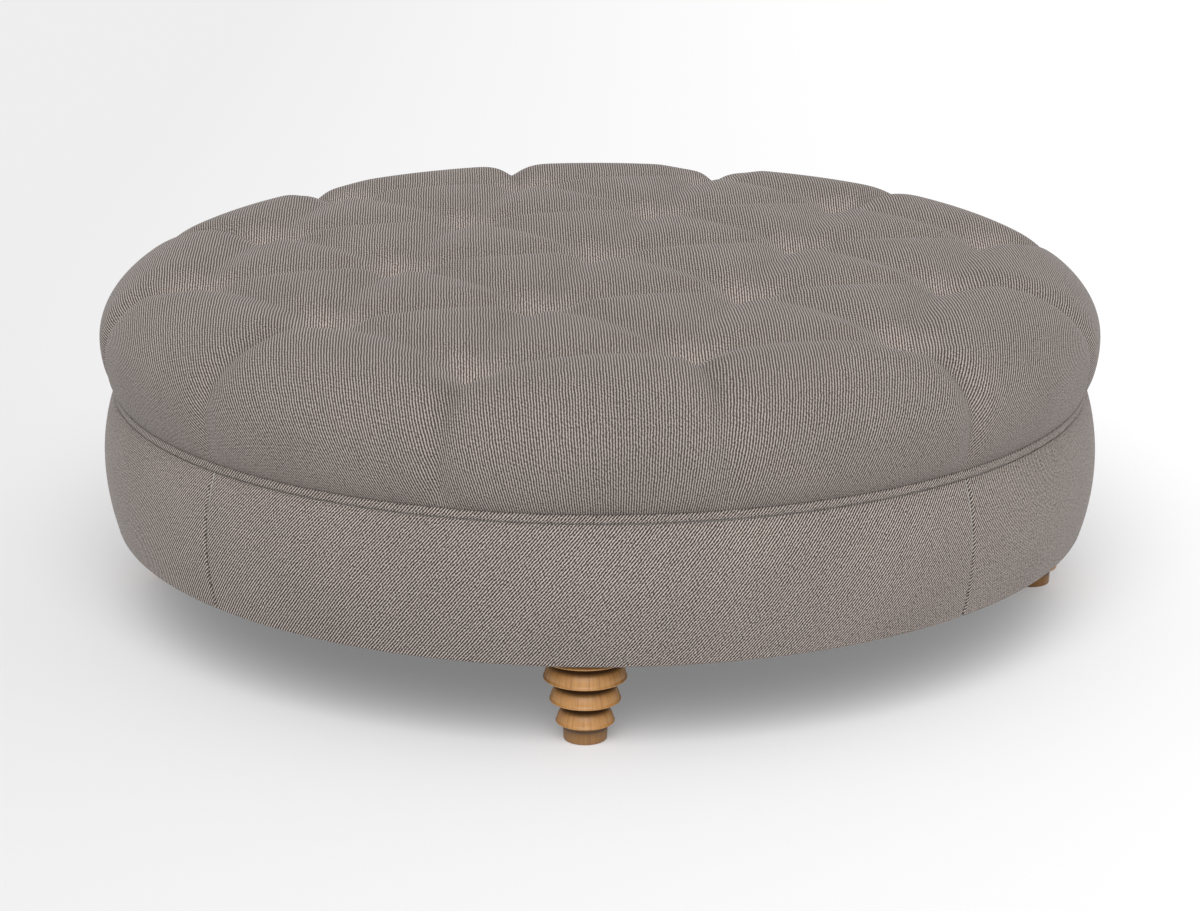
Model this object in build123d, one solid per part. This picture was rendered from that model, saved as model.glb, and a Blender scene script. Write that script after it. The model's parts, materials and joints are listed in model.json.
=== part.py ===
from build123d import *
import math
import os

os.makedirs("parts", exist_ok=True)

# Round tufted ottoman coffee table. Millimetres, origin on the floor under the middle, +Z up.
# One leg stands at the front, on -Y. The side cover's seams lie midway between the legs.

# Driving dimensions: the upholstered drum
base_radius = 560.0  # widest point of the padded side
base_swell_height = 78.0  # that point above the underside
base_foot_draw = 18.5  # how far the side draws in at its lower edge
base_top_draw = 13.0  # how far it draws in under the welt
base_edge_rounding = 8.0  # where the side turns under
flange_width = 36.0  # cover turned under the bottom ring
fabric_thickness = 2.0
soft_clearance = 0.3  # between soft layers, and between them and the boards

# Driving dimensions: the seat cushion
seat_setback = 1.4  # cushion's widest radius, less than the drum's
seat_foot_draw = 12.0  # drawn in at the welt
seat_swell_height = 53.0  # widest point above the deck
shoulder_width = 120.0
shoulder_height = 80.0
crown_rise = 10.0
cover_thickness = 18.0  # quilted cover with its first layer of fill
wadding_thickness = 8.0

# Driving dimensions: the tufts, a triangular lattice of three to a side
tuft_edge_margin = 102.0  # outermost tuft to the cushion's widest radius
tuft_depth = 50.0
tuft_mouth_radius = 54.0
tuft_mouth_lift = 3.0  # pits' cutters start this far above the cover
tuft_base_radius = 4.0
tuft_plug_radius = 32.0
tuft_plug_floor = 6.0
tuft_lattice_turn = 15.0  # degrees from the leg axes
tuft_rings = 2
twine_radius = 1.3
twine_stitch = 3.0  # twine caught in the plug
twine_clearance = 0.15
foam_bore_radius = 7.0
knot_radius = 3.6
washer_radius = 11.0
washer_thickness = 3.0

# Driving dimensions: the folds between tufts and down the side
fold_half_width = 38.0
fold_flank_bulge = 1.6
fold_tuft_depth = 13.0
fold_middle_depth = 7.5
side_fold_half_width = 34.0
side_fold_shoulder_depth = 11.0
side_fold_swell_depth = 7.0
side_fold_foot_depth = 2.5
fold_rise = 16.0  # cutters' open side above the cover
fold_start = 8.0  # off the tuft's axis, inside its pit
shoulder_station_shares = (0.25, 0.5, 0.75, 1.0)
flank_station_shares = (0.5, 1.05)
fold_lift = 1.5  # cutters start this far above the cover, and cross it at an angle

# Driving dimensions: the welt between cushion and drum
welt_height = 10.0
welt_thickness = 4.0
welt_bulge = 1.2

# Driving dimensions: the frame
leg_height = 94.0
dust_cover_thickness = 1.0
dust_cover_margin = 16.0  # short of the drum's lower edge
ring_thickness = 18.0
ring_width = 115.0
rail_height = 125.0
rail_thickness = 20.0
deck_thickness = 15.0
side_board_thickness = 3.0
side_board_setback = 32.0  # its outer face, inside the drum's widest radius
post_width = 60.0
post_depth = 45.0
leg_block_width = 110.0
leg_block_depth = 88.0
leg_block_height = 30.0
joinery_clearance = 0.2

# Driving dimensions: the turned legs
leg_inset = 64.5  # leg's axis, inside the drum's widest radius
foot_radius = 22.1
foot_flare = 0.8
foot_height = 15.5
foot_rounding = 1.5
ring_first_radius = 30.1
ring_radius_step = 6.27
ring_first_height = 20.0
ring_pitch = 23.7
ring_undercut = 16.0
ring_undercut_drop = 4.5
ring_edge_radius = 1.6
ring_flank_bulge = 1.1
leg_ring_count = 4
leg_top_chamfer = 1.5

# Driving dimensions: fasteners
bolt_radius = 4.0
bolt_grip_in_leg = 36.0
bolt_point = 6.0
bolt_stand = 3.0  # above the tee nut's flange
bolt_clearance = 0.1
bolt_hole_clearance = 0.6
tee_nut_flange_radius = 11.5
tee_nut_flange_thickness = 1.6
tee_nut_barrel_radius = 5.2
tee_nut_barrel_length = 12.0
screw_radius = 2.1
screw_head_radius = 4.4
screw_head_height = 3.0
screw_length = 45.0
screw_clearance = 0.1
screw_spread = 110.0  # rail screws either side of the rail's crossing, outwards
block_screw_spread = 36.0
overrun = 5.0  # cutters past a face

leg_angles = {"front": -90.0, "right": 0.0, "back": 90.0, "left": 180.0}
post_angles = {"front_left": -135.0, "front_right": -45.0, "back_right": 45.0, "back_left": 135.0}

# Levels above the floor
flange_bottom = leg_height + dust_cover_thickness
ring_bottom = flange_bottom + fabric_thickness
ring_top = ring_bottom + ring_thickness
deck_bottom = ring_top + rail_height
deck_top = deck_bottom + deck_thickness
welt_bottom = deck_top - welt_height
base_swell = leg_height + base_swell_height
seat_swell = deck_top + seat_swell_height
shoulder_top = seat_swell + shoulder_height
crown_top = shoulder_top + crown_rise

# Radii from the middle
base_foot_radius = base_radius - base_foot_draw
base_top_radius = base_radius - base_top_draw
seat_radius = base_radius - seat_setback
seat_foot_radius = seat_radius - seat_foot_draw
crown_radius = seat_radius - shoulder_width
side_board_radius = base_radius - side_board_setback
frame_radius = side_board_radius - side_board_thickness - joinery_clearance
ring_inner_radius = frame_radius - ring_width
leg_circle = base_radius - leg_inset
tuft_pitch = (seat_radius - tuft_edge_margin) / tuft_rings


def half_section(*edges):
    """Closed half section in radius and height, stood up in the XZ plane."""
    return Plane.XZ * make_face(edges)


def turned(*edges):
    """Solid of revolution about the table's axis."""
    return revolve(half_section(*edges), Axis.Z)


def tube(outer, inner, low, high):
    """Plain ring between two radii and two levels."""
    ring = Pos(0, 0, low) * extrude(Circle(outer) - Circle(inner), high - low)
    return ring


def rod(radius, low, high):
    """Upright round bar on the Z axis."""
    return Pos(0, 0, low) * extrude(Circle(radius), high - low)


def around(angle, radius=0.0):
    """Place on the table at an angle, turned to face outwards along its X axis."""
    return Rot(0, 0, angle) * Pos(radius, 0, 0)


def write(name, shape):
    """One file for each named piece."""
    shape.label = name
    export_step(shape, f"parts/{name}.step")


# Tuft lattice

def lattice_point(i, j):
    """Plan position of one tuft from its two lattice steps."""
    first = math.radians(tuft_lattice_turn)
    second = math.radians(tuft_lattice_turn + 60)
    x = tuft_pitch * (i * math.cos(first) + j * math.cos(second))
    y = tuft_pitch * (i * math.sin(first) + j * math.sin(second))
    return x, y


tuft_steps = [
    (i, j)
    for i in range(-tuft_rings, tuft_rings + 1)
    for j in range(-tuft_rings, tuft_rings + 1)
    if abs(i + j) <= tuft_rings
]
tuft_points = [lattice_point(i, j) for i, j in tuft_steps]
corner_tuft_radius = tuft_rings * tuft_pitch
middle_tuft_radius = corner_tuft_radius * math.cos(math.radians(30))

# The rails pass midway between two files of tufts
first_file = math.cos(math.radians(60 - tuft_lattice_turn))
second_file = math.cos(math.radians(tuft_lattice_turn))
rail_offset = tuft_pitch * (first_file + second_file) / 2


# Seat cushion

def seat_height(radius):
    """Level of the cushion's untufted top at a radius."""
    if radius <= crown_radius:
        return crown_top - crown_rise * (radius / crown_radius) ** 2
    reach = (radius - crown_radius) / shoulder_width
    return seat_swell + shoulder_height * math.sqrt(max(1 - reach**2, 0))


def seat_body(inset):
    """The cushion's untufted form, drawn in by an inset all over but at the deck."""
    top = crown_top - inset
    shoulder = (crown_radius, shoulder_top - inset)
    swell = (seat_radius - inset, seat_swell)
    foot = (seat_foot_radius - inset, deck_top)
    middle = (crown_radius / 2, seat_height(crown_radius / 2) - inset)
    return turned(
        Line((0, deck_top), foot),
        TangentArc(swell, foot, tangent=(0, -1)),
        EllipticalCenterArc(
            (crown_radius, seat_swell), shoulder_width - inset, shoulder_height - inset,
            start_angle=0, arc_size=90,
        ),
        ThreePointArc(shoulder, middle, (0, top)),
        Line((0, top), (0, deck_top)),
    )


def tuft_floor(radius):
    """Level of the bottom of a tuft's pit."""
    return seat_height(radius) - tuft_depth


def tuft_pit(radius):
    """Cutter for one tuft: a pit with the flared mouth of stuffed cloth pulled in."""
    floor = tuft_floor(radius)
    mouth = seat_height(radius) + tuft_mouth_lift
    high = crown_top + overrun
    face = half_section(
        Line((0, floor), (tuft_base_radius, floor)),
        EllipticalCenterArc(
            (tuft_mouth_radius, floor), tuft_mouth_radius - tuft_base_radius, mouth - floor,
            start_angle=90, arc_size=90,
        ),
        Line((tuft_mouth_radius, mouth), (tuft_mouth_radius, high)),
        Line((tuft_mouth_radius, high), (0, high)),
        Line((0, high), (0, floor)),
    )
    return revolve(face, Axis.Z)


def bulged(start, end, bulge):
    """Middle of an arc that bows to the right of the way from start to end."""
    across = end[0] - start[0]
    up = end[1] - start[1]
    length = math.hypot(across, up)
    return (start[0] + across / 2 + bulge * up / length, start[1] + up / 2 - bulge * across / length)


def fold_section(half_width, depth):
    """Outline of a fold's cutter: two rounded flanks that meet in a crease, open upwards."""
    left = (-half_width, fold_lift)
    right = (half_width, fold_lift)
    crease = (0, -depth)
    return make_face([
        ThreePointArc(left, bulged(crease, left, fold_flank_bulge), crease),
        ThreePointArc(crease, bulged(right, crease, fold_flank_bulge), right),
        Line(right, (half_width, fold_rise)),
        Line((half_width, fold_rise), (-half_width, fold_rise)),
        Line((-half_width, fold_rise), left),
    ])


def inner_fold(start, end):
    """Cutter for the fold between two neighbouring tufts, shallowest at mid-span."""
    heading = math.degrees(math.atan2(end[1] - start[1], end[0] - start[0]))
    first_share = fold_start / tuft_pitch
    sections = []
    for share in (first_share, 0.5, 1 - first_share):
        x = start[0] + (end[0] - start[0]) * share
        y = start[1] + (end[1] - start[1]) * share
        depth = fold_middle_depth if share == 0.5 else fold_tuft_depth
        place = Plane(
            origin=(x, y, seat_height(math.hypot(x, y))),
            x_dir=Vector(0, 1, 0).rotate(Axis.Z, heading),
            z_dir=Vector(1, 0, 0).rotate(Axis.Z, heading),
        )
        sections.append(place * fold_section(fold_half_width, depth))
    return loft(sections)


def shoulder_station(lean):
    """Point on the cushion's shoulder at an ellipse angle above its widest point, and its outward angle."""
    across = shoulder_width * math.cos(math.radians(lean))
    up = shoulder_height * math.sin(math.radians(lean))
    normal = math.degrees(math.atan2(up / shoulder_height**2, across / shoulder_width**2))
    return (crown_radius + across, seat_swell + up), normal


def flank_station(share):
    """Point on the drawn-in flank at a share of the way down to the welt, and its outward angle."""
    drop = seat_swell - deck_top
    flank_radius = (drop**2 + seat_foot_draw**2) / (2 * seat_foot_draw)
    tilt = math.asin(drop * share / flank_radius)
    point = (seat_radius - flank_radius * (1 - math.cos(tilt)), seat_swell - drop * share)
    return point, -math.degrees(tilt)


def side_fold(tuft_radius):
    """Cutter for the fold that runs from an outer tuft over the shoulder and down to the welt."""
    first = tuft_radius + fold_start
    first_lean = 90.0
    stations = []
    if first > crown_radius:
        first_lean = math.degrees(math.acos((first - crown_radius) / shoulder_width))
        stations.append((*shoulder_station(first_lean), fold_tuft_depth))
    else:
        stations.append(((first, seat_height(first)), 90.0, fold_tuft_depth))
    for share in shoulder_station_shares:
        depth = side_fold_swell_depth + (side_fold_shoulder_depth - side_fold_swell_depth) * (1 - share)
        stations.append((*shoulder_station(first_lean * (1 - share)), depth))
    for share in flank_station_shares:
        depth = side_fold_swell_depth + (side_fold_foot_depth - side_fold_swell_depth) * share
        stations.append((*flank_station(share), depth))
    sections = []
    for (radius, level), normal, depth in stations:
        out = Vector(1, 0, 0).rotate(Axis.Y, -normal)
        place = Plane(origin=(radius, 0, level), x_dir=(0, 1, 0), z_dir=Vector(0, 1, 0).cross(out))
        sections.append(place * fold_section(side_fold_half_width, depth))
    return loft(sections)


def fold_cutters():
    """Every fold: one sixth of the lattice is made and turned about the middle."""
    first_sixth = []
    for i in range(1, tuft_rings + 1):
        first_sixth.append(((i - 1, 0), (i, 0)))
        for j in range(i):
            first_sixth.append(((i - j, j), (i - j - 1, j + 1)))
            if j > 0:
                first_sixth.append(((i - j, j), (i - j - 1, j)))
                first_sixth.append(((i - j, j), (i - j, j - 1)))
    inner = [inner_fold(lattice_point(*a), lattice_point(*b)) for a, b in first_sixth]
    corner = Rot(0, 0, tuft_lattice_turn) * side_fold(corner_tuft_radius)
    middle = Rot(0, 0, tuft_lattice_turn + 30) * side_fold(middle_tuft_radius)
    return [Rot(0, 0, 60 * k) * cutter for k in range(6) for cutter in (*inner, corner, middle)]


def seat_cover():
    """Tufted cover with its quilted fill, hollow for the wadding and foam."""
    cover = seat_body(0) - seat_body(cover_thickness)
    plugs = []
    pits = []
    stitches = []
    for x, y in tuft_points:
        radius = math.hypot(x, y)
        low = tuft_floor(radius) - tuft_plug_floor
        plugs.append(Pos(x, y, 0) * rod(tuft_plug_radius, low, seat_height(radius) - cover_thickness / 2))
        pits.append(Pos(x, y, 0) * tuft_pit(radius))
        stitches.append(Pos(x, y, 0) * rod(twine_radius + twine_clearance, low - overrun, low + twine_stitch))
    cover = cover + plugs
    return cover - pits - fold_cutters() - stitches


def seat_wadding():
    """Soft layer laid over the foam, with a hole at each tuft."""
    outer = seat_body(cover_thickness + soft_clearance)
    inner = seat_body(cover_thickness + soft_clearance + wadding_thickness)
    holes = [
        Pos(x, y, 0) * rod(tuft_plug_radius + soft_clearance, deck_top, crown_top)
        for x, y in tuft_points
    ]
    return outer - inner - holes


def seat_foam():
    """Foam slab with a stepped hole for each tuft."""
    foam = seat_body(cover_thickness + wadding_thickness + 2 * soft_clearance)
    holes = []
    for x, y in tuft_points:
        low = tuft_floor(math.hypot(x, y)) - tuft_plug_floor - soft_clearance
        bore = rod(foam_bore_radius, deck_top - overrun, low)
        counterbore = rod(tuft_plug_radius + soft_clearance, low, crown_top)
        holes.append(Pos(x, y, 0) * (bore + counterbore))
    return foam - holes


def tuft_twines():
    """Waxed twine from each tuft down through foam and deck, knotted under its washer."""
    twines = []
    knot_top = deck_bottom - washer_thickness
    for x, y in tuft_points:
        high = tuft_floor(math.hypot(x, y)) - tuft_plug_floor + twine_stitch
        strand = rod(twine_radius, knot_top - knot_radius, high)
        knot = Pos(0, 0, knot_top - knot_radius) * Sphere(knot_radius)
        twines.append(Pos(x, y, 0) * (strand + knot))
    return Compound(children=twines)


def tuft_washers():
    """Fibre washers that the twines pull against."""
    low = deck_bottom - washer_thickness
    ring = tube(washer_radius, twine_radius + twine_clearance, low, deck_bottom)
    return Compound(children=[Pos(x, y, 0) * ring for x, y in tuft_points])


# Welt, side cover and padding

def base_face(inset):
    """Half section of the drum, drawn in by an inset at its side and underside."""
    bottom = flange_bottom + inset
    foot = (base_foot_radius - inset, flange_bottom + base_edge_rounding)
    swell = (base_radius - inset, base_swell)
    top = (base_top_radius - inset, welt_bottom)
    corner = CenterArc(
        (base_foot_radius - base_edge_rounding, flange_bottom + base_edge_rounding),
        base_edge_rounding - inset, -90, 90,
    )
    return make_face([
        Line((0, bottom), (base_foot_radius - base_edge_rounding, bottom)),
        corner,
        TangentArc(swell, foot, tangent=(0, -1)),
        TangentArc(swell, top, tangent=(0, 1)),
        Line(top, (0, welt_bottom)),
        Line((0, welt_bottom), (0, bottom)),
    ])


def bolt_holes():
    """Clearance holes for the four leg bolts, from the underside up."""
    hole = rod(bolt_radius + bolt_hole_clearance, leg_height - overrun, deck_bottom)
    return [around(angle, leg_circle) * hole for angle in leg_angles.values()]


def side_cover(angle):
    """One quarter of the side cover, centred on a leg and turned under the bottom ring."""
    inner_width = base_foot_radius - flange_width
    core = Pos(inner_width / 2, (flange_bottom + welt_bottom) / 2) * Rectangle(
        inner_width, welt_bottom - flange_bottom + overrun
    )
    section = base_face(0) - base_face(fabric_thickness) - core
    panel = revolve(Plane.XZ * section, Axis.Z, 90)
    return Rot(0, 0, angle - 45) * panel - bolt_holes()


def side_wadding():
    """Padding between the side board and its cover, stepped in behind the welt."""
    inset = fabric_thickness + soft_clearance
    padding = revolve(Plane.XZ * base_face(inset), Axis.Z)
    inner = side_board_radius + soft_clearance
    behind_welt = base_top_radius - welt_thickness - soft_clearance
    padding = padding + tube(behind_welt, inner, welt_bottom - overrun, deck_top)
    return padding - rod(inner, flange_bottom - overrun, deck_top + overrun)


def welt_band():
    """Narrow raised band sewn between the cushion and the drum."""
    inner = base_top_radius - welt_thickness
    outer = base_top_radius - welt_bulge
    middle = (base_top_radius, (welt_bottom + deck_top) / 2)
    return turned(
        Line((inner, welt_bottom), (outer, welt_bottom)),
        ThreePointArc((outer, welt_bottom), middle, (outer, deck_top)),
        Line((outer, deck_top), (inner, deck_top)),
        Line((inner, deck_top), (inner, welt_bottom)),
    )


def dust_cover():
    """Thin cloth stapled under the frame."""
    cloth = rod(base_foot_radius - dust_cover_margin, leg_height, flange_bottom)
    return cloth - bolt_holes()


# Frame

def screw(length):
    """Countersunk wood screw, head up, with the top of its head at the origin."""
    face = half_section(
        Polyline(
            (0, 0),
            (screw_head_radius, 0),
            (screw_radius, -screw_head_height),
            (screw_radius, -length + screw_head_height),
            (0, -length),
            (0, 0),
        )
    )
    return revolve(face, Axis.Z)


def screw_hole(length):
    """Hole that such a screw fills, with its clearance and a little depth to spare."""
    wide = screw_head_radius + screw_clearance
    narrow = screw_radius + screw_clearance
    face = half_section(
        Polyline(
            (0, overrun),
            (wide, overrun),
            (wide, 0),
            (narrow, -screw_head_height),
            (narrow, -length - screw_clearance),
            (0, -length - screw_clearance),
            (0, overrun),
        )
    )
    return revolve(face, Axis.Z)


def rail_screw_points():
    """Plan positions over the four rails, outwards of where they cross."""
    along = rail_offset + screw_spread
    points = []
    for across in (-rail_offset, rail_offset):
        for reach in (-along, along):
            points += [(across, reach), (reach, across)]
    return points


def post_points():
    """Plan positions over the four posts."""
    reach = frame_radius - post_depth / 2
    return [
        (reach * math.cos(math.radians(a)), reach * math.sin(math.radians(a)))
        for a in post_angles.values()
    ]


def block_screw_places():
    """Plan positions under the four leg blocks, two to a block."""
    places = []
    for angle in leg_angles.values():
        for side in (-block_screw_spread, block_screw_spread):
            place = around(angle, leg_circle) * Pos(0, side, 0)
            places.append((place.position.X, place.position.Y))
    return places


def deck_screw_places():
    """Where the deck is screwed down, from above."""
    return [Pos(x, y, deck_top) for x, y in rail_screw_points() + post_points()]


def ring_rail_points():
    """Plan positions where the rails stand on the bottom ring."""
    middle = (frame_radius + ring_inner_radius) / 2
    along = math.sqrt(middle**2 - rail_offset**2)
    points = []
    for across in (-rail_offset, rail_offset):
        for reach in (-along, along):
            points += [(across, reach), (reach, across)]
    return points


def ring_screw_places():
    """Where the ring is screwed up into posts, rails and leg blocks, from below."""
    points = post_points() + ring_rail_points() + block_screw_places()
    return [Pos(x, y, ring_bottom) * Rot(180, 0, 0) for x, y in points]


def seat_deck():
    """Plywood disc under the cushion, drilled for the twines."""
    deck = rod(frame_radius, deck_bottom, deck_top)
    hole = rod(twine_radius + bolt_hole_clearance, deck_bottom - overrun, deck_top + overrun)
    holes = [Pos(x, y, 0) * hole for x, y in tuft_points]
    return deck - holes - screws_in_deck


def bottom_ring():
    """Plywood ring that the legs, posts and rails fasten to."""
    ring = tube(frame_radius, ring_inner_radius, ring_bottom, ring_top)
    return ring - bolt_holes() - screws_in_ring


def rail(across, upper_notch):
    """One of four boards on edge, half-lapped with the two that cross it, ends cut to the drum."""
    board = Box(rail_thickness, 2 * frame_radius, rail_height)
    board = Pos(across, 0, (ring_top + deck_bottom) / 2) * board
    board = board & rod(frame_radius, ring_top, deck_bottom)
    half = rail_height / 2
    level = deck_bottom if upper_notch else ring_top
    gap = Box(rail_thickness + overrun, rail_thickness + 2 * joinery_clearance, 2 * half)
    notches = [Pos(across, y, level) * gap for y in (-rail_offset, rail_offset)]
    return board - notches


def trimmed_block(width, depth, height):
    """Block standing on the bottom ring, its back cut to the drum's curve, seen along +X."""
    back = frame_radius
    front = frame_radius - depth
    block = Pos((back + front) / 2, 0, ring_top + height / 2) * Box(depth, width, height)
    return block & rod(frame_radius, ring_top, ring_top + height)


def leg_block(angle):
    """Hardwood block that holds one leg's tee nut."""
    block = Rot(0, 0, angle) * trimmed_block(leg_block_width, leg_block_depth, leg_block_height)
    high = ring_top + leg_block_height
    socket = rod(
        tee_nut_barrel_radius + bolt_clearance, high - tee_nut_barrel_length - bolt_clearance, high + overrun
    )
    return block - around(angle, leg_circle) * socket - bolt_holes() - screws_in_ring


# Legs and their fasteners

def leg_outline():
    """Half section of the turned leg: a plain foot, then bells that widen ring by ring."""
    neck = (foot_radius + foot_flare, foot_height)
    edges = [
        Line((0, 0), (foot_radius - foot_rounding, 0)),
        TangentArc((foot_radius - foot_rounding, 0), (foot_radius, foot_rounding), tangent=(1, 0)),
        Line((foot_radius, foot_rounding), neck),
    ]
    for k in range(leg_ring_count):
        rim = ring_first_radius + ring_radius_step * k
        level = ring_first_height + ring_pitch * k
        under = (rim - ring_edge_radius, level - ring_edge_radius)
        over = (rim - ring_edge_radius, level + ring_edge_radius)
        edges += [Line(neck, under), ThreePointArc(under, (rim, level), over)]
        if k + 1 < leg_ring_count:
            next_level = level + ring_pitch - ring_undercut_drop
            neck = (rim + ring_radius_step - ring_undercut, next_level)
            middle = (
                (over[0] + neck[0]) / 2 + ring_flank_bulge,
                (over[1] + neck[1]) / 2 + ring_flank_bulge,
            )
            edges.append(ThreePointArc(over, middle, neck))
    shoulder = (over[0] - leg_top_chamfer, leg_height)
    edges += [Line(over, shoulder), Line(shoulder, (0, leg_height)), Line((0, leg_height), (0, 0))]
    return edges


def leg(angle):
    """Turned wooden leg, bored for its bolt."""
    body = turned(*leg_outline())
    bore = rod(
        bolt_radius + bolt_clearance, leg_height - bolt_grip_in_leg - bolt_clearance, leg_height + overrun
    )
    return around(angle, leg_circle) * (body - bore)


def hanger_bolts():
    """Bolts glued into the legs and screwed up into the tee nuts."""
    low = leg_height - bolt_grip_in_leg
    high = ring_top + leg_block_height + tee_nut_flange_thickness + bolt_stand
    bolt = turned(
        Polyline(
            (0, low),
            (bolt_radius, low + bolt_point),
            (bolt_radius, high),
            (0, high),
            (0, low),
        )
    )
    return Compound(children=[around(angle, leg_circle) * bolt for angle in leg_angles.values()])


def tee_nuts():
    """Flanged nuts let into the leg blocks from above."""
    seat = ring_top + leg_block_height
    bore = bolt_radius + bolt_clearance
    flange = tube(tee_nut_flange_radius, bore, seat, seat + tee_nut_flange_thickness)
    barrel = tube(tee_nut_barrel_radius, bore, seat - tee_nut_barrel_length, seat)
    nut = flange + barrel
    return Compound(children=[around(angle, leg_circle) * nut for angle in leg_angles.values()])


screws_in_deck = [place * screw_hole(screw_length) for place in deck_screw_places()]
screws_in_ring = [place * screw_hole(screw_length) for place in ring_screw_places()]
screw_holes = screws_in_deck + screws_in_ring

write("seat_cover", seat_cover())
write("seat_wadding", seat_wadding())
write("seat_foam", seat_foam())
write("tuft_twines", tuft_twines())
write("tuft_washers", tuft_washers())
write("seat_deck", seat_deck())
write("deck_screws", Compound(children=[place * screw(screw_length) for place in deck_screw_places()]))
write("rail_left", rail(-rail_offset, True) - screw_holes)
write("rail_right", rail(rail_offset, True) - screw_holes)
write("rail_front", Rot(0, 0, 90) * rail(-rail_offset, False) - screw_holes)
write("rail_back", Rot(0, 0, 90) * rail(rail_offset, False) - screw_holes)
for side, angle in post_angles.items():
    post = Rot(0, 0, angle) * trimmed_block(post_width, post_depth, rail_height)
    write(f"post_{side}", post - screw_holes)
write("side_board", tube(side_board_radius, side_board_radius - side_board_thickness, ring_bottom, deck_top))
write("side_wadding", side_wadding())
write("welt_band", welt_band())
write("bottom_ring", bottom_ring())
write("ring_screws", Compound(children=[place * screw(screw_length) for place in ring_screw_places()]))
write("tee_nuts", tee_nuts())
write("hanger_bolts", hanger_bolts())
write("dust_cover", dust_cover())
for side, angle in leg_angles.items():
    write(f"side_cover_{side}", side_cover(angle))
    write(f"leg_block_{side}", leg_block(angle))
    write(f"leg_{side}", leg(angle))
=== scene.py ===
import json
import math

import bmesh
import bpy
import numpy as np
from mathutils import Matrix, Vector


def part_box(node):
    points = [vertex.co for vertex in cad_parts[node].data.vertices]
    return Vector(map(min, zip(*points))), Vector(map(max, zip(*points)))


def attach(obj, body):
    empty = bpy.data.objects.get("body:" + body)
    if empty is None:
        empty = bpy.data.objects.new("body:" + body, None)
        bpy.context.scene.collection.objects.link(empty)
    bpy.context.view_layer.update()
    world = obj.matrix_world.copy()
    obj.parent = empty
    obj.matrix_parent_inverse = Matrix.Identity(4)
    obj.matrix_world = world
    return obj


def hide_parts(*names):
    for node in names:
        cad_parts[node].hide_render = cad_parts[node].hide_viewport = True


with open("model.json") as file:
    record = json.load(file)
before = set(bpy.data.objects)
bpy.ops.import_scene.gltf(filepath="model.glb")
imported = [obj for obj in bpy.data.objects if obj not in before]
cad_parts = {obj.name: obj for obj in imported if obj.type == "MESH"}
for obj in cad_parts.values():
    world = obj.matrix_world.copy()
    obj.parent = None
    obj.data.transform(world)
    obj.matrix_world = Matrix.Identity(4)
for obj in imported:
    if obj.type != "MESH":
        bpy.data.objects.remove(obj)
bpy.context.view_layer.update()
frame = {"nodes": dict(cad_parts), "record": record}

# Round tufted ottoman on turned legs. Metres, origin on the floor under the middle, +Z up, front on -Y.

nodes = frame["nodes"]
sides = {"front": -90.0, "right": 0.0, "back": 90.0, "left": 180.0}
tiny = 1e-9

# Sizes that the frame gives
cushion_low, cushion_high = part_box("seat_cover")
welt_low, welt_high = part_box("welt_band")
drum_low, drum_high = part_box("side_cover_right")
leg_low, leg_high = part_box("leg_front")
deck_top = cushion_low.z
seat_radius = cushion_high.x
welt_radius = welt_high.x
welt_bottom = welt_low.z
drum_radius = drum_high.x
drum_bottom = drum_low.z
leg_circle = -(leg_low.y + leg_high.y) / 2

# The cushion's form, and the points along its crown, shoulder and flank
seat_swell_height = 0.053
seat_foot_draw = 0.012
shoulder_width = 0.120
shoulder_height = 0.080
crown_rise = 0.010
crown_radius = seat_radius - shoulder_width
seat_foot_radius = seat_radius - seat_foot_draw
seat_swell = deck_top + seat_swell_height
shoulder_top = seat_swell + shoulder_height
crown_top = shoulder_top + crown_rise
crown_points = 200
shoulder_points = 120
flank_points = 40

# Tufts
tuft_edge_margin = 0.102
tuft_rings = 2
tuft_lattice_turn = 15.0
tuft_pitch = (seat_radius - tuft_edge_margin) / tuft_rings
tuft_depth = 0.028
tuft_mouth_radius = 0.074
tuft_mouth_power = 1.5
tuft_base_radius = 0.003

# Folds between tufts, and how sharply they deepen and join
fold_half_width = 0.045
fold_middle_half_width = 0.062
fold_tuft_depth = 0.026
fold_middle_depth = 0.0105
fold_power = 2.4
fold_end_power = 3
crease_radius = 0.0015
crease_middle_radius = 0.008
fold_join_power = 8
pit_join_power = 3

# Folds from the outer tufts down to the welt
side_fold_half_width = 0.045
side_fold_tuft_depth = 0.026
side_fold_foot_depth = 0.0065
side_fold_reach = 0.200
side_fold_inner = 0.025
side_fold_power = 3.0
side_fold_fall_power = 0.5
side_crease_radius = 0.0025
side_crease_growth = 2.5
foot_fade = 0.022

# Painted light where the tufts pull the cloth in, painted shade in the side folds and at the welt
tuft_painted_light_reach = 0.050
tuft_painted_light = 1.15
crease_shade = 0.35
crease_shade_width = 0.0035
crease_shade_fall = 2
crease_shade_run = 0.02
crease_shade_start = 0.5
foot_shade = 0.5
foot_shade_power = 3

# What lies under the cover
foam_hole_radius = 0.032
foam_hole_slope = 3
foam_depth = 0.0266
foam_clearance = 0.0025
foam_limit_power = 8
wadding_depth = 0.0186
wadding_clearance = 0.0045
wadding_foam_gap = 0.0004
wadding_least = 0.0005
wadding_hole_margin = 0.004
wadding_edge_margin = 0.012

# Meshes: steps from tuft to tuft, and rings beyond the tufts
cushion_mesh = (40, 52)
wadding_mesh = (16, 20)

# The cushion's lower edge: how far it turns in, and the rings that close it over the deck
edge_tucks = (0.0005, 0.004)
closing_rings = 8
closing_points = 16

# Cloth simulation: how proud the cover starts, how far it may go, and where and how firmly it is held
cloth_start_proud = 0.0015
cloth_proud_depth = 0.012
cloth_most = 0.010
cloth_pressure = 4.0
cloth_frames = 16
held_levels = 20
held_tuft_radius = 0.012
held_edge_width = 0.002
held_fold = 0.35
held_side_fold = 0.6
held_side_run = 0.05

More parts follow.
